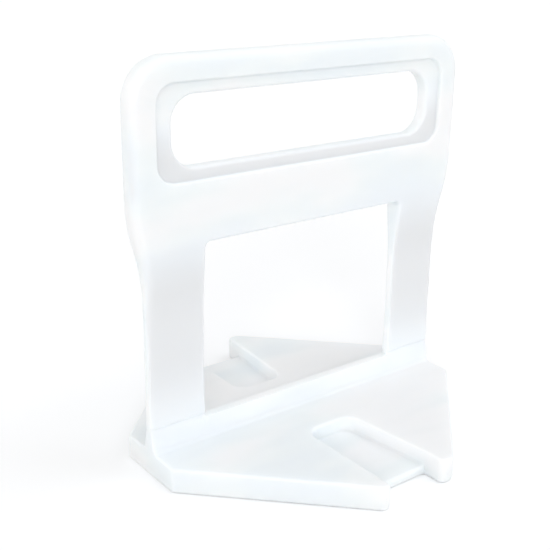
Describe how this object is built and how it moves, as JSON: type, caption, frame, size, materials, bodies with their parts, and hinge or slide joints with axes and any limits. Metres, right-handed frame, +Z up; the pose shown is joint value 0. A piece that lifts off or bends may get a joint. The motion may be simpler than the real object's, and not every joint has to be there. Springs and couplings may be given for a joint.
{
  "type": "tile levelling clip",
  "caption": "Snap-off tile levelling clip: translucent strap with grip slot and wedge window on a flat diamond base with adhesive channels.",
  "frame": {"origin": "middle of the underside of the base", "axes": "+X along the tile joint and the strap, +Y across the joint, +Z up out of the base"},
  "size_m": [0.0418, 0.038, 0.042],
  "materials": {
    "clip": "satin, translucent natural polypropylene"
  },
  "bodies": {
    "root": {"clip": "clip"}
  },
  "joints": []
}
